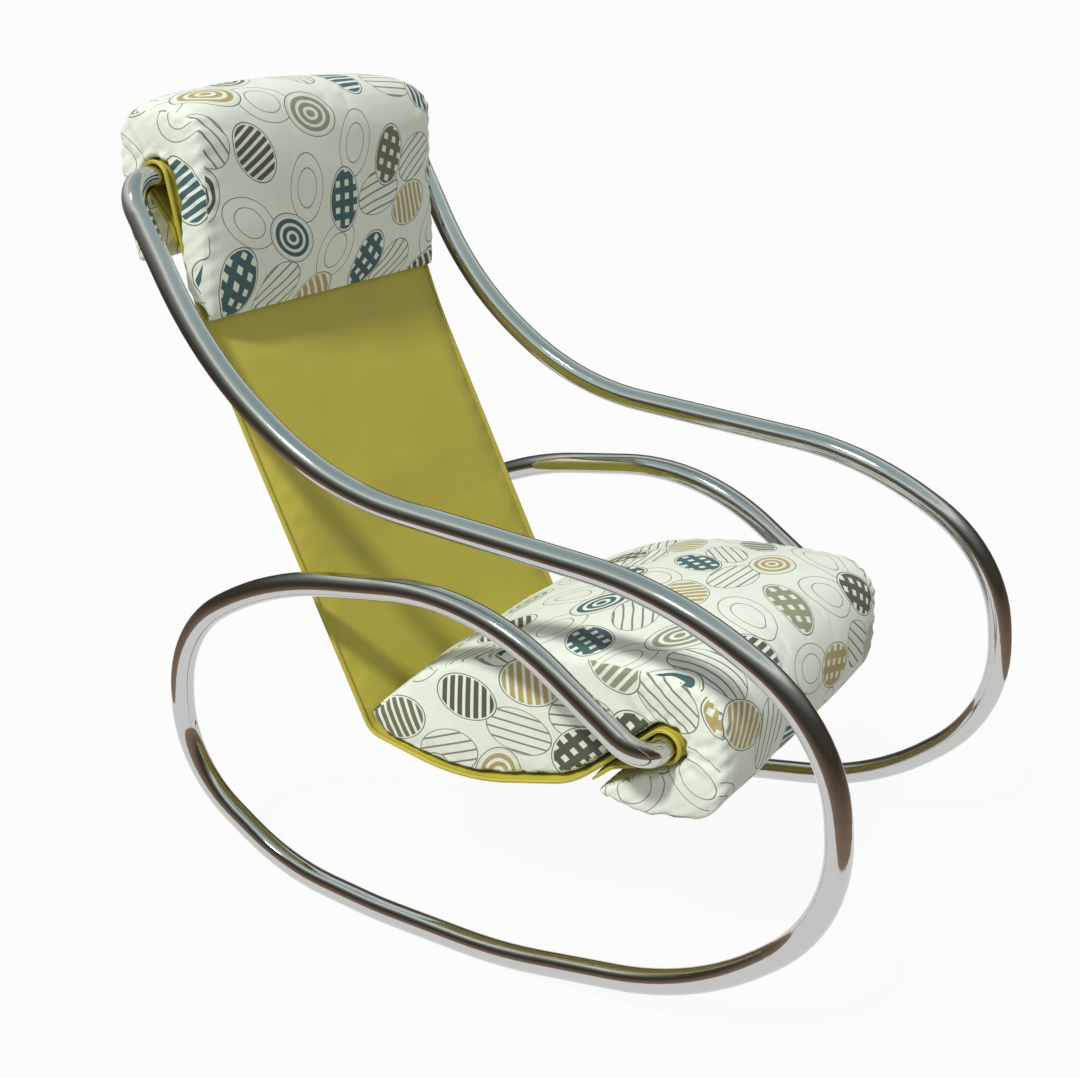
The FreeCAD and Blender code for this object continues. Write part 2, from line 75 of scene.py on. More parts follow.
def effect(name, inputs, outputs):
    """Starts a shader node group and returns it with its input and output nodes."""
    tree = bpy.data.node_groups.new(name, "ShaderNodeTree")
    for socket, kind in inputs.items():
        tree.interface.new_socket(socket, in_out="INPUT", socket_type=f"NodeSocket{kind}")
    for socket, kind in outputs.items():
        tree.interface.new_socket(socket, in_out="OUTPUT", socket_type=f"NodeSocket{kind}")
    return tree, tree.nodes.new("NodeGroupInput"), tree.nodes.new("NodeGroupOutput")


def new_finish(name, **sockets):
    """Starts a material and sets what is the same all over on its shader."""
    finish = bpy.data.materials.new(name)
    finish.use_nodes = True
    shader = finish.node_tree.nodes["Principled BSDF"]
    for socket, value in sockets.items():
        shader.inputs[socket.replace("_", " ")].default_value = value
    return finish, finish.node_tree, shader


def dress(piece, finish):
    """Gives a piece one material and smooth shading."""
    piece.data.materials.clear()
    piece.data.materials.append(finish)
    piece.data.polygons.foreach_set("use_smooth", [True] * len(piece.data.polygons))


handling, given, result = effect("handling_marks", {"Size": "Float"},
                                 {"Smudge": "Float", "Speck": "Float"})
place = put(handling, "ShaderNodeTexCoord").outputs["Object"]
smear = put(handling, "ShaderNodeTexNoise", {"Vector": place, "Scale": given.outputs["Size"],
                                             "Detail": 5.0, "Roughness": 0.62})
smudge = remap(handling, smear.outputs["Fac"], 0.42, 0.7)
dots = put(handling, "ShaderNodeTexVoronoi", {"Vector": place, "Scale": 260.0})
speck = remap(handling, dots.outputs["Distance"], 0.1, 0.06)
patch = put(handling, "ShaderNodeTexNoise", {"Vector": place, "Scale": 9.0, "Detail": 2.0})
rare = remap(handling, patch.outputs["Fac"], 0.58, 0.7)
sparse = maths(handling, "MULTIPLY", speck, rare)
handling.links.new(smudge, result.inputs["Smudge"])
handling.links.new(sparse, result.inputs["Speck"])

PLATING, PITTED = (0.56, 0.56, 0.55, 1), (0.22, 0.19, 0.16, 1)
chrome, tree, shader = new_finish("polished_chrome", Metallic=1.0, IOR=2.3)
marks = put(tree, "ShaderNodeGroup", node_tree=handling)
marks.inputs["Size"].default_value = 11.0
tint = blend(tree, marks.outputs["Speck"], PLATING, PITTED)
dull = remap(tree, marks.outputs["Smudge"], 0.0, 1.0, 0.05, 0.12)
spoiled = maths(tree, "MULTIPLY_ADD", marks.outputs["Speck"], 0.35, dull)
place = put(tree, "ShaderNodeTexCoord").outputs["Object"]
drawn_lines = put(tree, "ShaderNodeTexNoise", {"Vector": place, "Scale": 6.0, "Detail": 2.0})
ripple = put(tree, "ShaderNodeBump", {"Height": drawn_lines.outputs["Fac"], "Strength": 0.25,
                                      "Distance": 0.0012})
tree.links.new(tint, shader.inputs["Base Color"])
tree.links.new(spoiled, shader.inputs["Roughness"])
tree.links.new(ripple.outputs["Normal"], shader.inputs["Normal"])
for name in ("right_frame_tube", "left_frame_tube"):
    dress(nodes[name], chrome)


# Spigots and screws: turned steel bars inside the two crossbars, with dome-head screws that hold the
# halves of the frame on them. Plain satin steel, hidden under the sling's loops.

BRIGHT_STEEL, DULL_STEEL = (0.56, 0.56, 0.57, 1), (0.44, 0.43, 0.42, 1)
steel, tree, shader = new_finish("satin_steel", Metallic=1.0)
marks = put(tree, "ShaderNodeGroup", node_tree=handling)
marks.inputs["Size"].default_value = 60.0
tint = blend(tree, marks.outputs["Smudge"], BRIGHT_STEEL, DULL_STEEL)
dull = remap(tree, marks.outputs["Smudge"], 0.0, 1.0, 0.26, 0.42)
tree.links.new(tint, shader.inputs["Base Color"])
tree.links.new(dull, shader.inputs["Roughness"])
for name in ("top_bar_spigot", "front_bar_spigot", "spigot_screws"):
    dress(nodes[name], steel)


# Sling: one long padded strip of mustard leathercloth, face and back sewn together along a flat welt.
# Each end goes round a crossbar and is sewn to the strip again, so both loops carry the sitter.

# Forward, height and bend radius of each corner of the strip's inner side, from its top to its front end
SLING_CORNERS = [
    (-0.40840, 0.81972, 0), (-0.41282, 0.84127, 0.030), (-0.45853, 0.89752, 0.0153),
    (-0.44796, 0.91577, 0.0153), (-0.42714, 0.91239, 0.0153), (-0.38800, 0.72198, 0.72861),
    (-0.14900, 0.22998, 0.034), (-0.00600, 0.20198, 0.29204), (0.15100, 0.24498, 0.120),
    (0.26333, 0.34617, 0.0153), (0.28175, 0.33745, 0.0153), (0.28081, 0.31709, 0.0153),
    (0.19801, 0.28692, 0.030), (0.17423, 0.26550, 0),
]
SLING_STEP = 0.006
SLING_EDGE, SLING_THICKNESS, SLING_MIDDLE = 0.2287, 0.0082, 0.0041
# Heights between which the strip is bare, how far it bulges there, and how deep its edge is gathered
SEAT_TOP, HEADREST_HEM = 0.43, 0.71
BULGE, GATHERS = 0.0050, 0.0007
# Half of the strip's cross-section: distance from its middle and from its inner side
SHOULDER = [(SLING_EDGE - 0.042 * t, 0.0032 + 0.0050 * (1 - (1 - t) ** 2.4))
            for t in np.linspace(0, 1, 13)]
SLING_FACE = [(x, SLING_THICKNESS) for x in np.linspace(0, 0.1867, 10)[:-1]] + SHOULDER[::-1]
SLING_LIP = [(0.2289, 0.0050), (0.2298, 0.0061), (0.2318, 0.0064), (0.2338, 0.0060), (0.2350, 0.0052),
             (0.2349, 0.0045), (0.2340, 0.0041), (0.2349, 0.0037), (0.2350, 0.0030), (0.2338, 0.0022),
             (0.2318, 0.0018), (0.2298, 0.0021), (0.2289, 0.0032)]
# Points of the lip's section in its three grooves, which get painted shade, and how dark the painted
# shade is there
LIP_LINES, LIP_SHADE = [0, 6, 12], 0.55
SLING_BACK = [(0.2275, 0.0019), (0.2250, 0.0010), (0.2200, 0.0004), (0.2100, 0.0001), (0.1700, 0),
              (0.1300, 0), (0.0850, 0), (0.0400, 0), (0, 0)]


def unit(vector):
    """The direction of a vector."""
    return vector / np.linalg.norm(vector)


def rounded_path(corners, step):
    """Points and directions along a path in the side view with rounded corners."""
    points = [np.array(corner[:2]) for corner in corners]
    runs = [unit(b - a) for a, b in zip(points, points[1:])]
    path = []

    def straight(start, end):
        count = max(1, round(np.linalg.norm(end - start) / step))
        for k in range(count):
            path.append((start + (end - start) * k / count, unit(end - start)))

    reached = points[0]
    for k in range(1, len(points) - 1):
        before, after = runs[k - 1], runs[k]
        turn = math.atan2(before[0] * after[1] - before[1] * after[0], before.dot(after))
        radius = corners[k][2]
        tangent = radius * math.tan(abs(turn) / 2)
        start = points[k] - before * tangent
        if np.linalg.norm(start - reached) > 1e-5:
            straight(reached, start)
        aside = np.array([-before[1], before[0]]) * math.copysign(1, turn)
        count = max(2, round(abs(turn) * max(radius, 0.024) / step))
        for j in range(count):
            angle = abs(turn) * j / count
            place = start + before * radius * math.sin(angle) + aside * radius * (1 - math.cos(angle))
            path.append((place, before * math.cos(angle) + aside * math.sin(angle)))
        reached = points[k] + after * tangent
    straight(reached, points[-1])
    path.append((points[-1], runs[-1]))
    return np.array([p for p, _ in path]), np.array([d for _, d in path])


def new_piece(name, vertices, faces):
    """A new mesh object in the scene."""
    mesh = bpy.data.meshes.new(name)
    mesh.from_pydata([tuple(v) for v in vertices], [], [tuple(f) for f in faces])
    mesh.update()
    piece = bpy.data.objects.new(name, mesh)
    scene.collection.objects.link(piece)
    return piece


def set_uv(piece, places):
    """Gives every corner of a piece's faces the flat place of its vertex, in metres."""
    corner_vertex = np.empty(len(piece.data.loops), dtype=int)
    piece.data.loops.foreach_get("vertex_index", corner_vertex)
    layer = piece.data.uv_layers.new(name="cut")
    layer.data.foreach_set("uv", np.asarray(places, dtype=float)[corner_vertex].ravel())


sling_line, sling_runs = rounded_path(SLING_CORNERS, SLING_STEP)
sling_lengths = np.concatenate([[0], np.cumsum(np.linalg.norm(np.diff(sling_line, axis=0), axis=1))])
sling_left = np.stack([-sling_runs[:, 1], sling_runs[:, 0]], axis=1)
half = SLING_FACE + SLING_LIP + SLING_BACK
section = np.array(half + [(-x, n) for x, n in half[-2:0:-1]])
across, depth = section[:, 0], section[:, 1]
lines = np.zeros(len(half))
lines[[len(SLING_FACE) + k for k in LIP_LINES]] = LIP_SHADE
lines = np.concatenate([lines, lines[-2:0:-1]])
on_face = np.array([1.0] * len(SLING_FACE) + [0.0] * (len(half) - len(SLING_FACE)))
on_face = np.concatenate([on_face, on_face[-2:0:-1]])
vertices, flat_places, lip_shading = [], [], []
last = sling_lengths[-1]
for (f, z), (nf, nz), along in zip(sling_line, sling_left, sling_lengths):
    end = min(along, last - along)
    thin = 0.55 + 0.45 * min(1, end / 0.007) ** 0.5
    sag = 0.00045 * np.sin(along * 31 + across * 17) * np.sin(along * 13 - across * 29 + 1.3) - 0.00045
    field = (depth > 0.0075) * np.clip((0.2 - np.abs(across)) / 0.05, 0, 1)
    between_cushions = np.clip((z - SEAT_TOP) / 0.06, 0, 1) * np.clip((HEADREST_HEM - z) / 0.04, 0, 1)
    crown = BULGE * between_cushions * np.clip((SLING_EDGE - np.abs(across)) / 0.04, 0, 1) ** 0.7
    ripples = np.sin(along * 170 + 2.4 * np.sin(along * 21) + across * 8)
    gather = np.exp(-((np.abs(across) - 0.213) / 0.010) ** 2) * ripples
    lift = SLING_MIDDLE + (depth - SLING_MIDDLE) * thin + field * sag
    lift = lift + on_face * (crown + GATHERS * gather)
    for x, n in zip(across, lift):
        vertices.append((x, -(f + nf * n), z + nz * n))
        flat_places.append((x, along))
    lip_shading.extend(lines)
count = len(section)
faces = [(i * count + j, i * count + (j + 1) % count, (i + 1) * count + (j + 1) % count,
          (i + 1) * count + j) for i in range(len(sling_line) - 1) for j in range(count)]
faces.append(tuple(range(count))[::-1])
faces.append(tuple(range((len(sling_line) - 1) * count, len(sling_line) * count)))
sling = new_piece("padded_sling", vertices, faces)
set_uv(sling, flat_places)
# Painted shade in the lip's grooves, kept as an attribute for the material
sling.data.attributes.new("painted_seam_shade", "FLOAT", "POINT").data.foreach_set("value", lip_shading)

grain, given, result = effect("hide_grain", {"Vector": "Vector", "Size": "Float"},
                              {"Pebble": "Float", "Crease": "Float", "Mottle": "Float"})
cells = put(grain, "ShaderNodeTexVoronoi", {"Vector": given.outputs["Vector"],
                                            "Scale": given.outputs["Size"]}, feature="DISTANCE_TO_EDGE")
pebble = remap(grain, cells.outputs["Distance"], 0.0, 0.28)
folds = put(grain, "ShaderNodeTexNoise", {"Vector": given.outputs["Vector"], "Scale": 26.0,
                                          "Detail": 4.0, "Distortion": 0.6})
mottle = put(grain, "ShaderNodeTexNoise", {"Vector": given.outputs["Vector"], "Scale": 7.0,
                                           "Detail": 5.0})
grain.links.new(pebble, result.inputs["Pebble"])
grain.links.new(folds.outputs["Fac"], result.inputs["Crease"])
grain.links.new(mottle.outputs["Fac"], result.inputs["Mottle"])

MUSTARD, FADED_MUSTARD = (0.445, 0.385, 0.038, 1), (0.570, 0.505, 0.066, 1)
SEAM_SHADE = (0.130, 0.105, 0.012, 1)
leathercloth, tree, shader = new_finish("mustard_leathercloth", Specular_IOR_Level=0.45,
                                        Sheen_Weight=0.08, Sheen_Roughness=0.4)
flat = put(tree, "ShaderNodeUVMap", uv_map="cut").outputs["UV"]
hide = put(tree, "ShaderNodeGroup", node_tree=grain)
tree.links.new(flat, hide.inputs["Vector"])
hide.inputs["Size"].default_value = 620.0
mottled = blend(tree, hide.outputs["Mottle"], MUSTARD, FADED_MUSTARD)
# Painted shade: the attribute blends the lip's grooves towards a dark shade colour
seam_shading = put(tree, "ShaderNodeAttribute", attribute_name="painted_seam_shade")
seam_shaded = blend(tree, seam_shading.outputs["Fac"], mottled, SEAM_SHADE)
satin = remap(tree, hide.outputs["Mottle"], 0.0, 1.0, 0.40, 0.56)
relief = maths(tree, "MULTIPLY_ADD", hide.outputs["Crease"], 2.2, hide.outputs["Pebble"])
leather_bump = put(tree, "ShaderNodeBump", {"Height": relief, "Strength": 0.4, "Distance": 0.0004})
tree.links.new(seam_shaded, shader.inputs["Base Color"])
tree.links.new(satin, shader.inputs["Roughness"])
tree.links.new(leather_bump.outputs["Normal"], shader.inputs["Normal"])
dress(sling, leathercloth)
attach(sling, "frame")
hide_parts("sling_face_panel", "sling_wadding", "sling_back_panel", "sling_welt_right",
            "sling_welt_left")


# Loop seams: rows of straight stitches in thick waxed thread, right across the sling.
# They go through both plies, close to the free end of each loop, and hold the loop shut.

THREAD_RADIUS = 0.0006


def twisted_thread(name, groove_shade, crest):
    """A thread's material: twisted plies, with painted shade in the grooves between them."""
    finish, tree, shader = new_finish(name, Roughness=0.7, Sheen_Weight=0.2)
    lay = put(tree, "ShaderNodeTexCoord").outputs["Object"]
    twist = put(tree, "ShaderNodeTexWave", {"Vector": lay, "Scale": 900.0, "Distortion": 0.4},
                bands_direction="DIAGONAL")
    ply = blend(tree, twist.outputs["Fac"], groove_shade, crest)
    bump = put(tree, "ShaderNodeBump", {"Height": twist.outputs["Fac"], "Strength": 0.5,
                                        "Distance": 0.0002})
    tree.links.new(ply, shader.inputs["Base Color"])
    tree.links.new(bump.outputs["Normal"], shader.inputs["Normal"])
    return finish


thread = twisted_thread("waxed_thread", (0.44, 0.38, 0.10, 1), (0.66, 0.60, 0.26, 1))


def stitches(name, ends, outward, radius=THREAD_RADIUS):
    """One mesh of short stitches, each bowed outward between its two ends, which dip into the cloth."""
    vertices, faces = [], []
    sides, stations = 6, 7
    for (start, end), out in zip(ends, outward):
        start, end, out = Vector(start), Vector(end), Vector(out).normalized()
        run = (end - start).normalized()
        side = run.cross(out).normalized()
        first = len(vertices)
        for k in range(stations):
            t = k / (stations - 1)
            rise = 1 - (2 * t - 1) ** 4
            centre = start.lerp(end, t) + out * radius * (1.6 * rise - 0.9)
            for j in range(sides):
                angle = 2 * math.pi * j / sides
                vertices.append(centre + (side * math.cos(angle) + out * math.sin(angle)) * radius)
        for k in range(stations - 1):
            for j in range(sides):
                a, b = first + k * sides + j, first + k * sides + (j + 1) % sides
                faces.append((a, b, b + sides, a + sides))
        faces.append(tuple(first + j for j in range(sides))[::-1])
        faces.append(tuple(first + (stations - 1) * sides + j for j in range(sides)))
    return new_piece(name, vertices, faces)


def stitch_row(node, name):
    """A row of stitches where a CAD row of straight stitches is, each the same way round."""
    mesh = nodes[node].data
    spots = np.empty(len(mesh.vertices) * 3)
    mesh.vertices.foreach_get("co", spots)
    spots = spots.reshape(-1, 3)
    order = np.argsort(spots[:, 0])
    rows = np.split(order, np.flatnonzero(np.diff(spots[order, 0]) > 0.0015) + 1)
    ends, outward = [], []
    for row in rows:
        low, high = spots[row].min(axis=0), spots[row].max(axis=0)
        middle = (low + high) / 2
        away = middle[1:] * (-1, 1) - sling_line
        nearest = np.argmin((away ** 2).sum(axis=1))
        out = np.array([0, -away[nearest][0], away[nearest][1]])
        ends.append(((low[0], *middle[1:]), (high[0], *middle[1:])))
        outward.append(out)
    row = stitches(name, ends, outward)
    dress(row, thread)
    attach(row, "frame")
    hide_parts(node)


stitch_row("sling_top_seam", "top_loop_stitches")
stitch_row("sling_front_seam", "front_loop_stitches")


# Headrest: a box bolster of printed linen over foam, with a slot below that straddles the top bar.
# Side panels are sewn to one long wrap panel, and a round hole in each side panel lets the bar through.

def surface(piece):
    """Vertex places of a piece as an array."""
    places = np.empty(len(piece.data.vertices) * 3)
    piece.data.vertices.foreach_get("co", places)
    return places.reshape(-1, 3)


def settle(piece, mesh_name):
    """Applies a piece's modifiers and names the mesh that they give."""
    made = bpy.data.meshes.new_from_object(piece.evaluated_get(bpy.context.evaluated_depsgraph_get()))
    piece.modifiers.clear()
    old = piece.data
    piece.data = made
    made.name = mesh_name
    bpy.data.meshes.remove(old)


def side_seams(node):
    """Points a few millimetres apart along both side seams, where the CAD foam's sides end."""
    mesh = nodes[node].data
    mesh_edges = {}
    for face in mesh.polygons:
        for key in face.edge_keys:
            ends = tuple(sorted(tuple(round(c, 5) for c in mesh.vertices[v].co) for v in key))
            on_end = abs(face.normal.x) > 0.93 and abs(face.center.x) > 0.2
            mesh_edges.setdefault(ends, []).append(on_end)
    points = []
    for (a, b), flags in mesh_edges.items():
        if any(flags) and not all(flags):
            a, b = Vector(a), Vector(b)
            count = max(1, math.ceil((b - a).length / 0.003))
            points += [a.lerp(b, k / count) for k in range(count)]
    tree = KDTree(len(points))
    for k, point in enumerate(points):
        tree.insert(point, k)
    tree.balance()
    return tree


def sling_gap(places):
    """How far each place is from the sling's inner line, in the side view."""
    side = np.stack([-places[:, 1], places[:, 2]], axis=1)
    gaps = np.full(len(side), np.inf)
    for start in range(0, len(side), 4000):
        block = side[start:start + 4000, None, :] - sling_line[None, :, :]
        gaps[start:start + 4000] = np.sqrt((block ** 2).sum(axis=2).min(axis=1))
    return gaps


def sling_side(places):
    """How far each place is in front of the sling's inner line, or behind it where negative."""
    side = np.stack([-places[:, 1], places[:, 2]], axis=1)
    ahead = np.empty(len(side))
    for start in range(0, len(side), 4000):
        block = side[start:start + 4000, None, :] - sling_line[None, :, :]
        nearest = (block ** 2).sum(axis=2).argmin(axis=1)
        offset = block[np.arange(len(block)), nearest]
        ahead[start:start + 4000] = (offset * sling_left[nearest]).sum(axis=1)
    return ahead


def soften(piece, free, turns):
    """Rounds a cover's edges as its filling does, in and out by turns so that it doesn't shrink."""
    places = surface(piece)
    ends = np.empty(len(piece.data.edges) * 2, dtype=int)
    piece.data.edges.foreach_get("vertices", ends)
    first, second = ends.reshape(-1, 2).T
    neighbours = np.bincount(ends, minlength=len(places))
    for share in [0.5, -0.52] * turns:
        middles = np.stack([np.bincount(first, places[second, k], len(places))
                            + np.bincount(second, places[first, k], len(places))
                            for k in range(3)], axis=1)
        places += (middles / neighbours[:, None] - places) * (share * free)[:, None]
    piece.data.vertices.foreach_set("co", places.ravel())
    piece.data.update()


def swell(piece, held, most):
    """Fills a cover with cloth simulation, holding some vertices, and caps how far any of them moves."""
    frames = 20
    rest = surface(piece)
    pins = piece.vertex_groups.new(name="held")
    for weight in np.unique(held[held > 0]):
        pins.add(np.flatnonzero(held == weight).tolist(), float(weight), "REPLACE")
    cloth = piece.modifiers.new("fill", "CLOTH")
    cloth.settings.quality = 3
    cloth.settings.mass = 0.3
    cloth.settings.tension_stiffness = 18
    cloth.settings.compression_stiffness = 12
    cloth.settings.shear_stiffness = 8
    cloth.settings.bending_stiffness = 1.2
    cloth.settings.use_pressure = True
    cloth.settings.uniform_pressure_force = 9
    cloth.settings.effector_weights.gravity = 0
    cloth.settings.vertex_group_mass = "held"
    cloth.point_cache.frame_start = 1
    cloth.point_cache.frame_end = frames
    for k in range(1, frames + 1):
        scene.frame_set(k)
    settle(piece, piece.name)
    scene.frame_set(1)
    piece.vertex_groups.clear()
    moved = surface(piece) - rest
    reach = np.linalg.norm(moved, axis=1)
    share = np.where(reach > 1e-9, most * np.tanh(reach / most) / np.maximum(reach, 1e-9), 0)
    piece.data.vertices.foreach_set("co", (rest + moved * share[:, None]).ravel())
    piece.data.update()


def carry(piece, name, values):
    """Keeps a value for each vertex that later modifiers pass on."""
    layer = piece.data.attributes.new(name, "FLOAT", "POINT")
    layer.data.foreach_set("value", np.asarray(values, dtype=float))


def carried(piece, name):
    """The values that a piece's vertices carry."""
    values = np.empty(len(piece.data.vertices))
    piece.data.attributes[name].data.foreach_get("value", values)
    return values


# Where the side panels were cut from the cloth
SIDE_CUT = (0.41, 0.50)


def flat_cover(piece, centre):
    """Lays the cover out flat: side panels by place, the wrap panel by its length round the cushion."""
    places = surface(piece)
    side = np.stack([-places[:, 1], places[:, 2]], axis=1) - centre
    turn = np.arctan2(side[:, 0], side[:, 1])
    reach = np.hypot(side[:, 0], side[:, 1])
    bins = 120
    which = np.clip(((turn + math.pi) / (2 * math.pi) * bins).astype(int), 0, bins - 1)
    radius = np.zeros(bins)
    inner = np.abs(places[:, 0]) < 0.15
    np.maximum.at(radius, which[inner], reach[inner])
    angles = (np.arange(bins) + 0.5) / bins * 2 * math.pi - math.pi
    found = radius > 0
    radius = np.interp(angles, angles[found], radius[found], period=2 * math.pi)
    ring = np.stack([np.sin(angles), np.cos(angles)], axis=1) * radius[:, None]
    steps = np.linalg.norm(np.diff(np.vstack([ring, ring[:1]]), axis=0), axis=1)
    lengths = np.concatenate([[0], np.cumsum(steps)])
    wrap = np.interp(turn, np.append(angles, angles[0] + 2 * math.pi), lengths)
    mesh = piece.data
    corner_vertex = np.empty(len(mesh.loops), dtype=int)
    mesh.loops.foreach_get("vertex_index", corner_vertex)
    sizes = np.empty(len(mesh.polygons), dtype=int)
    mesh.polygons.foreach_get("loop_total", sizes)
    starts = np.concatenate([[0], np.cumsum(sizes)[:-1]])
    on_side = np.add.reduceat(carried(piece, "side_panel")[corner_vertex], starts) / sizes > 0.5
    on_side = np.repeat(on_side, sizes)
    uv = np.stack([places[corner_vertex, 0], wrap[corner_vertex]], axis=1)
    uv[on_side] = (places[:, 1:] + SIDE_CUT)[corner_vertex][on_side]
    mesh.uv_layers.new(name="cut").data.foreach_set("uv", uv.ravel())


def sewn(piece, depth, bar):
    """Draws the cover in along its side seams, with puckers there and pulls round the bar's hole."""
    places = surface(piece)
    normals = np.empty(len(places) * 3)
    piece.data.vertices.foreach_get("normal", normals)
    normals = normals.reshape(-1, 3)
    gaps = carried(piece, "seam_gap")
    tuck = np.exp(-(gaps / 0.0035) ** 2) * depth
    along = places[:, 1] * 260 + places[:, 2] * 310
    beside_seam = np.exp(-(gaps / 0.016) ** 2) * (1 - np.exp(-(gaps / 0.003) ** 2))
    pucker = beside_seam * np.sin(along) * depth * 0.35
    side = np.stack([-places[:, 1], places[:, 2]], axis=1) - bar
    around = np.arctan2(side[:, 1], side[:, 0])
    from_bar = np.hypot(side[:, 0], side[:, 1])
    pucker *= 1 + 2.4 * np.exp(-(from_bar / 0.085) ** 2)
    near_bar = np.exp(-((from_bar - 0.055) / 0.028) ** 2)
    near_bar *= np.clip((np.abs(places[:, 0]) - 0.2) / 0.03, 0, 1)
    pull = near_bar * np.sin(around * 11 + 2.5 * np.sin(around * 3)) * 0.0010
    slack = 0.0008 * np.sin(places @ (41, 23, 37) + 1.6 * np.sin(places @ (17, 31, -29)))
    slack = np.where(sling_gap(places) > BESIDE_SLING, slack - 0.0008, 0)
    places += normals * (pucker - tuck + pull + slack)[:, None]
    piece.data.vertices.foreach_set("co", places.ravel())
    # Painted shade along the side seams, kept as an attribute that darkens the cover there
    carry(piece, "painted_seam_shade", np.exp(-(gaps / 0.0022) ** 2))
    piece.data.update()


# Cell of a cushion's first mesh, how near the sling it is held, and how deep its seams draw in
COVER_CELL, BESIDE_SLING, SEAM_DEPTH = 0.006, 0.016, 0.0014


def cushion(node, name, most, centre, bar, free, slump):
    """A filled cover from a cushion's CAD foam: remeshed, swelled, sewn and laid out for its print."""
    piece = bpy.data.objects.new(name, nodes[node].data.copy())
    scene.collection.objects.link(piece)
    cells = piece.modifiers.new("cells", "REMESH")
    cells.mode = "VOXEL"
    cells.voxel_size = COVER_CELL
    settle(piece, name)
    seams = side_seams(node)
    places = surface(piece)
    normals = np.empty(len(places) * 3)
    piece.data.vertices.foreach_get("normal", normals)
    to_seam = np.array([seams.find(Vector(p))[2] if abs(p[0]) > 0.18 else 0.05 for p in places])
    gap = sling_gap(places)
    carry(piece, "seam_gap", to_seam)
    carry(piece, "side_panel", np.abs(normals.reshape(-1, 3)[:, 0]) > 0.72)
    soften(piece, np.clip((gap - 0.014) / 0.03, 0, 1) * free(places), 40)
    piece.data.vertices.foreach_set("co", (surface(piece) + slump(surface(piece))).ravel())
    soften(piece, np.clip((np.abs(places[:, 0]) - 0.222) / 0.008, 0, 1) * free(places), 8)
    held = np.where(gap < BESIDE_SLING, 1.0, 0.0)
    held = np.maximum(held, np.where(to_seam < 0.005, 0.9, 0.0))
    held = np.maximum(held, 1.0 - free(places))
    swell(piece, held, most)
    finer = piece.modifiers.new("finer", "SUBSURF")
    finer.levels = finer.render_levels = 1
    settle(piece, name)
    sewn(piece, SEAM_DEPTH, bar)
    flat_cover(piece, centre)
    for spent in ("seam_gap", "side_panel"):
        piece.data.attributes.remove(piece.data.attributes[spent])
    return piece


# How far the ends of the bolster's top sink, and its front lobe spills outward and back
END_SINK, SPILL_OUT, SPILL_BACK = 0.013, 0.009, 0.027


def headrest_slump(places):
    """The ends of the bolster's top sink, and the front lobe's filling spills past the sling's edges."""
    out = np.abs(places[:, 0])
    end = np.clip((out - 0.165) / 0.07, 0, 1) ** 2
    top = np.clip((places[:, 2] - 0.90) / 0.09, 0, 1)
    moved = np.stack([np.zeros(len(out)), np.zeros(len(out)), -END_SINK * end * top], axis=1)
    ahead = sling_side(places)
    spill = np.clip(1 - (ahead - 0.0095) / 0.05, 0, 1) * np.clip((0.880 - places[:, 2]) / 0.06, 0, 1)
    spill *= np.clip((places[:, 2] - 0.742) / 0.03, 0, 1)
    spill = np.where((ahead > 0.004) & (places[:, 1] < 0.45), spill * spill * (3 - 2 * spill), 0)
    moved[:, 0] += np.sign(places[:, 0]) * SPILL_OUT * spill * np.clip((out - 0.218) / 0.008, 0, 1)
    back = SPILL_BACK * spill * np.clip((out - 0.2285) / 0.004, 0, 1)
    moved[:, 1] += 0.90 * back
    moved[:, 2] -= 0.437 * back
    return moved


def all_free(places):
    """Every part of the bolster rounds freely."""
    return np.ones(len(places))


# How far the bolster swells at most, its middle, and the bar it straddles, as forward and height
HEADREST_SWELL = 0.012
HEADREST_MIDDLE, TOP_BAR = np.array([-0.440, 0.915]), np.array([-0.443, 0.897])
headrest = cushion("headrest_foam", "headrest_bolster", HEADREST_SWELL, HEADREST_MIDDLE, TOP_BAR,
                   all_free, headrest_slump)

weave, given, result = effect("linen_weave", {"Vector": "Vector", "Threads": "Float"},
                              {"Thread": "Float", "Slub": "Float"})
yarn = {"Vector": given.outputs["Vector"], "Scale": given.outputs["Threads"], "Distortion": 1.2,
        "Detail": 1.0, "Detail Scale": 0.6}
warp = put(weave, "ShaderNodeTexWave", yarn, bands_direction="X")
weft = put(weave, "ShaderNodeTexWave", yarn, bands_direction="Y")
crossed = maths(weave, "ADD", warp.outputs["Fac"], weft.outputs["Fac"])
slub_ways = []
for stretch in ((260.0, 22.0, 1.0), (22.0, 260.0, 1.0)):
    drawn_out = put(weave, "ShaderNodeMapping", {"Vector": given.outputs["Vector"], "Scale": stretch})
    thick = put(weave, "ShaderNodeTexNoise", {"Vector": drawn_out.outputs["Vector"], "Scale": 1.0,
                                              "Detail": 2.0})
    slub_ways.append(thick.outputs["Fac"])
slubs = maths(weave, "MULTIPLY", *slub_ways)
weave.links.new(crossed, result.inputs["Thread"])
weave.links.new(slubs, result.inputs["Slub"])

pebbles, given, result = effect("pebble_print", {"Vector": "Vector", "Size": "Float"},
                                {"Ink": "Color", "Cover": "Float"})
spread = put(pebbles, "ShaderNodeVectorMath", {0: given.outputs["Vector"],
                                               "Scale": given.outputs["Size"]}, operation="SCALE")


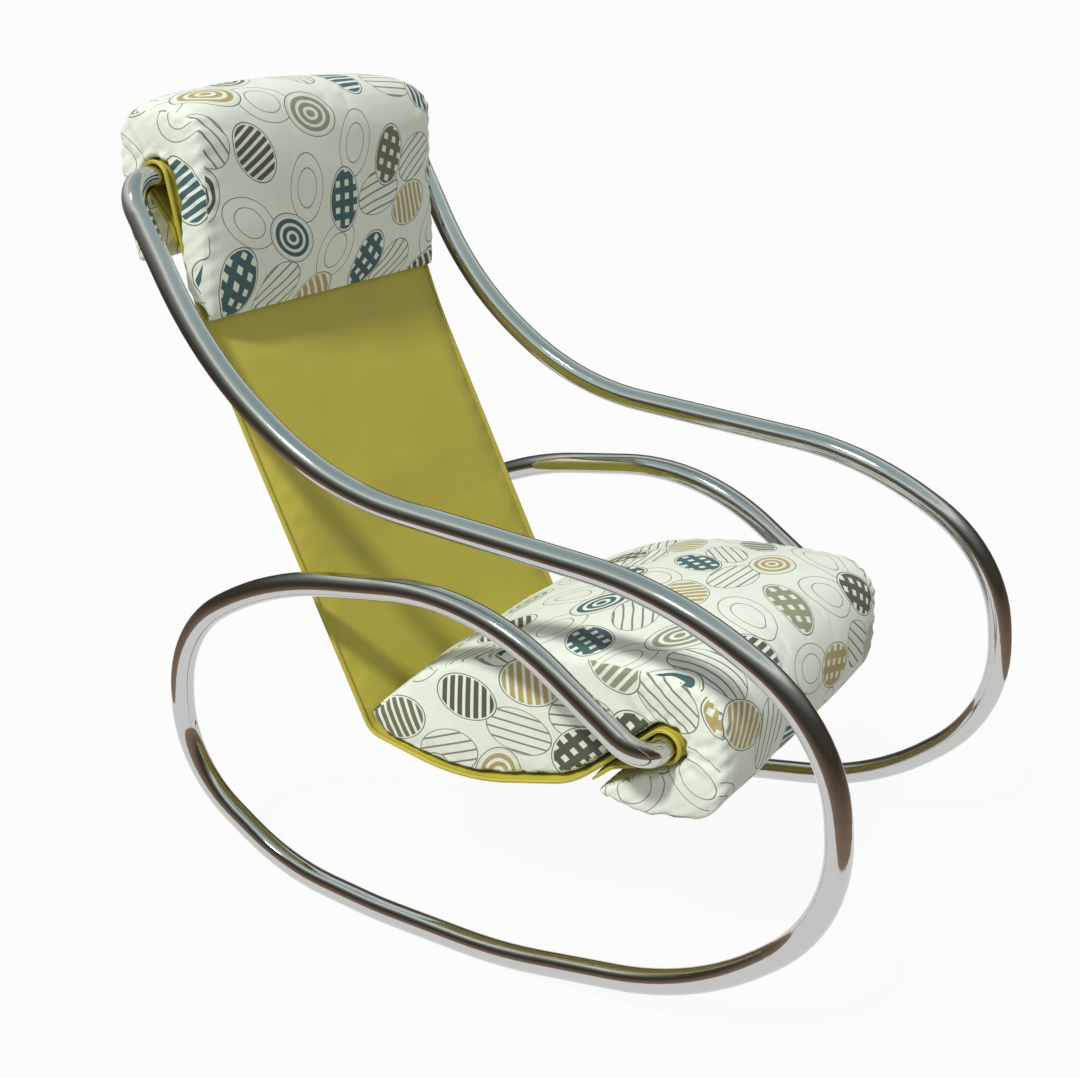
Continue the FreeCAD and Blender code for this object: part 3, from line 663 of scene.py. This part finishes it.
def pebble_layer(place, uneven, squeeze):
    """Scattered egg shapes: a chance for each, the place inside it and the distance from its middle."""
    spots = put(pebbles, "ShaderNodeTexVoronoi", {"Vector": place, "Scale": 1.0, "Randomness": uneven},
                voronoi_dimensions="2D")
    chance = put(pebbles, "ShaderNodeSeparateColor", {"Color": spots.outputs["Color"]})
    local = put(pebbles, "ShaderNodeVectorMath", {0: place, 1: spots.outputs["Position"]},
                operation="SUBTRACT")
    spin = maths(pebbles, "MULTIPLY", chance.outputs["Red"], 6.28)
    turned = put(pebbles, "ShaderNodeVectorRotate", {"Vector": local.outputs["Vector"], "Angle": spin},
                 rotation_type="Z_AXIS")
    squeezed = put(pebbles, "ShaderNodeMapping", {"Vector": turned.outputs["Vector"], "Scale": squeeze})
    radial = put(pebbles, "ShaderNodeVectorMath", {0: squeezed.outputs["Vector"]}, operation="LENGTH")
    inner = put(pebbles, "ShaderNodeSeparateXYZ", {"Vector": turned.outputs["Vector"]})
    return chance, inner, radial.outputs["Value"]


def wave(value, count, above):
    """Bands across a value: 1 where a sine of it is above a level."""
    scaled = maths(pebbles, "MULTIPLY", value, count)
    sine = maths(pebbles, "SINE", scaled)
    return remap(pebbles, sine, above - 0.1, above + 0.1)


def times(one, other):
    """One mask inside another."""
    return maths(pebbles, "MULTIPLY", one, other)


def edge(radial, at, half):
    """A thin outline round an egg shape."""
    return maths(pebbles, "COMPARE", radial, at, half)


def within(radial, at):
    """1 inside an egg shape."""
    return remap(pebbles, radial, at + 0.01, at - 0.01)


# Inked pebbles on top: striped, ringed or spotted
slanted = put(pebbles, "ShaderNodeVectorRotate", {"Vector": spread.outputs["Vector"], "Angle": 0.45},
              rotation_type="Z_AXIS")
chance, inner, radial = pebble_layer(slanted.outputs["Vector"], 0.26, (2.05, 3.1, 1.0))
striped = wave(inner.outputs["X"], 62.0, -0.35)
ringed = wave(radial, 26.0, -0.25)
upright, level = wave(inner.outputs["X"], 40.0, 0.1), wave(inner.outputs["Y"], 40.0, 0.1)
checks = maths(pebbles, "MULTIPLY_ADD", upright, level, 1.0)
spotted = maths(pebbles, "SUBTRACT", 2.0, checks)
is_ringed = maths(pebbles, "GREATER_THAN", chance.outputs["Green"], 0.36)
is_spotted = maths(pebbles, "GREATER_THAN", chance.outputs["Green"], 0.68)
drawing = put(pebbles, "ShaderNodeMix", {0: is_ringed, 2: striped, 3: ringed})
drawing = put(pebbles, "ShaderNodeMix", {0: is_spotted, 2: drawing.outputs[0], 3: spotted})
rim = edge(radial, 0.78, 0.016)
inked = maths(pebbles, "MAXIMUM", times(drawing.outputs[0], within(radial, 0.72)), rim)


def colour_stops(tree, value, stops, steps):
    """A row of colours along a value, each with the share at which it starts."""
    ramp = put(tree, "ShaderNodeValToRGB", {"Fac": value})
    ramp.color_ramp.interpolation = steps
    for k, (at, colour) in enumerate(stops):
        stop = ramp.color_ramp.elements[k] if k < 2 else ramp.color_ramp.elements.new(at)
        stop.position = at
        stop.color = (*colour, 1)
    return ramp.outputs["Color"]


# Teal, tan, olive, sage and dark olive, and the two greys of the outlines
INKS = [(0.0, (0.008, 0.080, 0.096)), (0.32, (0.430, 0.330, 0.105)), (0.55, (0.115, 0.120, 0.052)),
        (0.72, (0.235, 0.285, 0.170)), (0.86, (0.045, 0.052, 0.020))]
RIM_INK, SKETCH_INK = (0.10, 0.10, 0.075, 1), (0.175, 0.180, 0.140, 1)
inks = colour_stops(pebbles, chance.outputs["Blue"], INKS, "CONSTANT")
outlined = blend(pebbles, rim, inks, RIM_INK)

# Drawn pebbles underneath: fine grey outlines with a few thin lines
aside = put(pebbles, "ShaderNodeVectorMath", {0: slanted.outputs["Vector"], 1: (0.5, 0.5, 0.0)},
            operation="ADD")
luck, bottom, reach = pebble_layer(aside.outputs["Vector"], 0.3, (2.0, 3.0, 1.0))
hatched = times(wave(bottom.outputs["Y"], 58.0, 0.80), within(reach, 0.78))
looped = edge(reach, 0.46, 0.014)
is_looped = maths(pebbles, "GREATER_THAN", luck.outputs["Green"], 0.45)
sketch = put(pebbles, "ShaderNodeMix", {0: is_looped, 2: hatched, 3: looped})
sketched = maths(pebbles, "MAXIMUM", sketch.outputs[0], edge(reach, 0.79, 0.014))
bare = maths(pebbles, "SUBTRACT", 1.0, within(radial, 0.80))
shown = times(sketched, bare)
ink = blend(pebbles, bare, outlined, SKETCH_INK)
covered = maths(pebbles, "MAXIMUM", times(inked, within(radial, 0.80)), shown)
pebbles.links.new(ink, result.inputs["Ink"])
pebbles.links.new(covered, result.inputs["Cover"])

LINEN, BLEACHED_LINEN = (0.74, 0.81, 0.71, 1), (0.91, 0.97, 0.88, 1)
# Tone of the painted shade along the cover's seams
SEAM_SHADOW_TONE = (0.20, 0.20, 0.16, 1)
linen, tree, shader = new_finish("printed_linen", Specular_IOR_Level=0.2, Sheen_Weight=0.1,
                                 Sheen_Roughness=0.5)
flat = put(tree, "ShaderNodeUVMap", uv_map="cut").outputs["UV"]
cloth = put(tree, "ShaderNodeGroup", node_tree=weave)
tree.links.new(flat, cloth.inputs["Vector"])
cloth.inputs["Threads"].default_value = 230.0
motif = put(tree, "ShaderNodeGroup", node_tree=pebbles)
tree.links.new(flat, motif.inputs["Vector"])
motif.inputs["Size"].default_value = 8.8
ground = blend(tree, cloth.outputs["Slub"], LINEN, BLEACHED_LINEN)
soak = maths(tree, "MULTIPLY", motif.outputs["Cover"], 0.93)
printed = blend(tree, soak, ground, motif.outputs["Ink"])
# Painted shade: the attribute darkens the linen along its seams
seam_shading = put(tree, "ShaderNodeAttribute", attribute_name="painted_seam_shade")
shade = maths(tree, "MULTIPLY", seam_shading.outputs["Fac"], 0.3)
seam_shaded = blend(tree, shade, printed, SEAM_SHADOW_TONE)
dry = remap(tree, cloth.outputs["Slub"], 0.0, 1.0, 0.95, 0.78)
relief = maths(tree, "MULTIPLY_ADD", cloth.outputs["Slub"], 3.0, cloth.outputs["Thread"])
cloth_bump = put(tree, "ShaderNodeBump", {"Height": relief, "Strength": 0.35, "Distance": 0.0005})
tree.links.new(seam_shaded, shader.inputs["Base Color"])
tree.links.new(dry, shader.inputs["Roughness"])
tree.links.new(cloth_bump.outputs["Normal"], shader.inputs["Normal"])
dress(headrest, linen)
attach(headrest, "headrest")
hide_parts("headrest_foam", "headrest_cover", "headrest_slot_lining", "headrest_side_right",
            "headrest_side_left")


# Seat cushion: a thick foam wedge in the same linen, that fills the hollow of the sling.
# Its nose hooks over and under the front bar, so the cushion can't slide out.

def wedge_free(places):
    """The thick wedge rounds freely, and the thin flap under the bar keeps its cut form."""
    return np.where((places[:, 2] < 0.285) & (places[:, 1] < -0.17) & (places[:, 1] > -0.262), 0.0, 1.0)


def flap_slump(places):
    """The flap's tip hangs back a little under the sling's seam."""
    tip = np.clip((places[:, 1] + 0.228) / 0.03, 0, 1) * (places[:, 2] < 0.272) * (places[:, 1] < -0.16)
    return np.stack([np.zeros(len(tip)), 0.006 * tip, np.zeros(len(tip))], axis=1)


# How far the wedge swells at most, its middle, and the bar its nose hooks round, as forward and height
SEAT_SWELL = 0.014
SEAT_MIDDLE, FRONT_BAR = np.array([0.100, 0.330]), np.array([0.266, 0.328])
seat = cushion("seat_foam", "seat_wedge", SEAT_SWELL, SEAT_MIDDLE, FRONT_BAR, wedge_free, flap_slump)
dress(seat, linen)
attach(seat, "seat_cushion")
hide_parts("seat_foam", "seat_cover_top", "seat_cover_base", "seat_side_right", "seat_side_left")


# Closing stitches: whip stitches in thick cotton thread that close the cover under the cushion's flap.
# They are sewn by hand over the lower edge of each side, once the foam is in.

WHIP_RADIUS = 0.0011
cotton = twisted_thread("cotton_thread", (0.36, 0.35, 0.28, 1), (0.70, 0.69, 0.60, 1))


def whip_row(node, name, onto):
    """Whip stitches where the CAD ones are, laid on a cover's surface."""
    mesh = nodes[node].data
    skin = BVHTree.FromObject(onto, bpy.context.evaluated_depsgraph_get())
    spots = np.empty(len(mesh.vertices) * 3)
    mesh.vertices.foreach_get("co", spots)
    spots = spots.reshape(-1, 3)
    order = np.argsort(spots[:, 1] + np.sign(spots[:, 0]))
    key = (spots[:, 1] + np.sign(spots[:, 0]))[order]
    ends, outward = [], []
    for row in np.split(order, np.flatnonzero(np.diff(key) > 0.0008) + 1):
        far = spots[row][np.argmax(np.abs(spots[row, 0]))]
        near = spots[row][np.argmin(np.abs(spots[row, 0]))]
        over_edge = Vector((math.copysign(0.008, far[0]), 0, 0.005))
        a, normal_a, _, _ = skin.find_nearest(Vector(far) + over_edge)
        b, normal_b, _, _ = skin.find_nearest(Vector(near))
        ends.append((a, b))
        outward.append(normal_a + normal_b)
    row = stitches(name, ends, outward, WHIP_RADIUS)
    dress(row, cotton)
    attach(row, "seat_cushion")
    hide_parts(node)


whip_row("seat_closing_stitches", "flap_whip_stitches", seat)


# Studio: a pale paper floor, a soft key light from the sitter's right, an even dome, and a light tent
# that only polished surfaces see. The camera stands where the photograph was taken from.

FLOOR = 150.0
floor = new_piece("studio_floor", [(-FLOOR, -FLOOR, 0), (FLOOR, -FLOOR, 0), (FLOOR, FLOOR, 0),
                                   (-FLOOR, FLOOR, 0)], [(0, 1, 2, 3)])
paper, tree, shader = new_finish("white_paper", Roughness=0.9, Specular_IOR_Level=0.1)
place = put(tree, "ShaderNodeTexCoord").outputs["Object"]
paper_grain = put(tree, "ShaderNodeTexNoise", {"Vector": place, "Scale": 3.0})
paper_tone = blend(tree, paper_grain.outputs["Fac"], (0.50, 0.485, 0.46, 1), (0.54, 0.525, 0.50, 1))
tree.links.new(paper_tone, shader.inputs["Base Color"])


def seen_directly(tree):
    """1 for the camera, in mirrors and through clear things, and 0 for light that lands on the object."""
    rays = put(tree, "ShaderNodeLightPath")
    seen = maths(tree, "MAXIMUM", rays.outputs["Is Camera Ray"], rays.outputs["Is Transmission Ray"])
    return maths(tree, "MAXIMUM", seen, rays.outputs["Is Glossy Ray"])


veil = maths(tree, "MULTIPLY", seen_directly(tree), 0.94)
white = put(tree, "ShaderNodeEmission", {"Strength": 1.0})
mixed = put(tree, "ShaderNodeMixShader", {0: veil, 1: shader.outputs["BSDF"],
                                          2: white.outputs["Emission"]})
tree.links.new(mixed.outputs["Shader"], tree.nodes["Material Output"].inputs["Surface"])
floor.data.materials.append(paper)


# Radius and height of the light tent's wall, and its tone at shares of its height
TENT = [(0.95, 0.02), (0.95, 0.3), (0.95, 0.6), (0.94, 1.0), (0.88, 1.4), (0.74, 1.75), (0.5, 2.0),
        (0.2, 2.15), (0.01, 2.2)]
TENT_HEIGHT = 2.2
TENT_TONES = [(0.0, (0.34, 0.25, 0.18)), (0.10, (0.20, 0.14, 0.10)), (0.20, (0.06, 0.048, 0.034)),
              (0.30, (0.07, 0.068, 0.055)), (0.42, (0.24, 0.27, 0.24)), (0.55, (0.95, 1.0, 0.95)),
              (0.66, (0.55, 0.66, 0.64)), (1.0, (0.34, 0.46, 0.48))]
sides = 48
round_tent = [2 * math.pi * k / sides for k in range(sides)]
tent = new_piece("light_tent",
                 [(r * math.cos(a), r * math.sin(a), z) for r, z in TENT for a in round_tent],
                 [(i * sides + k, i * sides + (k + 1) % sides, (i + 1) * sides + (k + 1) % sides,
                   (i + 1) * sides + k) for i in range(len(TENT) - 1) for k in range(sides)])
canvas = bpy.data.materials.new("tent_canvas")
canvas.use_nodes = True
tree = canvas.node_tree
place = put(tree, "ShaderNodeTexCoord").outputs["Object"]
height = put(tree, "ShaderNodeSeparateXYZ", {"Vector": place}).outputs["Z"]
tones = colour_stops(tree, maths(tree, "DIVIDE", height, TENT_HEIGHT), TENT_TONES, "LINEAR")
glow = put(tree, "ShaderNodeEmission", {"Color": tones, "Strength": 1.0})
tree.links.new(glow.outputs["Emission"], tree.nodes["Material Output"].inputs["Surface"])
tent.data.materials.append(canvas)
tent.visible_camera = False
tent.visible_diffuse = False
tent.visible_shadow = False
tent.visible_transmission = False

world = bpy.data.worlds.new("studio_dome")
world.use_nodes = True
tree = world.node_tree
tree.nodes["Background"].inputs["Color"].default_value = (1.0, 1.0, 1.0, 1)
dome = remap(tree, seen_directly(tree), 0.0, 1.0, 0.4, 0.97)
tree.links.new(dome, tree.nodes["Background"].inputs["Strength"])
scene.world = world

sun = bpy.data.objects.new("key_light", bpy.data.lights.new("key_light", "SUN"))
sun.data.energy = 2.75
sun.data.angle = math.radians(6)
sun.data.color = (1.0, 0.985, 0.95)
sun.rotation_euler = Vector((-0.60, 0.02, 0.80)).to_track_quat("Z", "Y").to_euler()
scene.collection.objects.link(sun)

# The camera's direction, the photograph's width and the lens in its pixels, and the film's width in mm
AZIMUTH, ELEVATION = math.radians(-58.3), math.radians(20.449)
PHOTO_WIDTH, LENS_PIXELS, FILM_WIDTH = 1080, 1528.57, 36
right = Vector((math.cos(AZIMUTH), math.sin(AZIMUTH), 0))
back = Vector((math.sin(AZIMUTH) * math.cos(ELEVATION), -math.cos(AZIMUTH) * math.cos(ELEVATION),
               math.sin(ELEVATION)))
up = back.cross(right)
lens = bpy.data.cameras.new("photo_camera")
lens.sensor_fit = "HORIZONTAL"
lens.sensor_width = FILM_WIDTH
lens.lens = LENS_PIXELS / PHOTO_WIDTH * FILM_WIDTH
lens.shift_x = -0.0044
lens.shift_y = 0.0005
lens.clip_end = 200
camera = bpy.data.objects.new("photo_camera", lens)
scene.collection.objects.link(camera)
camera.matrix_world = Matrix((right, up, back)).transposed().to_4x4()
camera.location = (-1.58185, -0.94463, 1.13403)
scene.camera = camera
scene.view_settings.view_transform = "Standard"
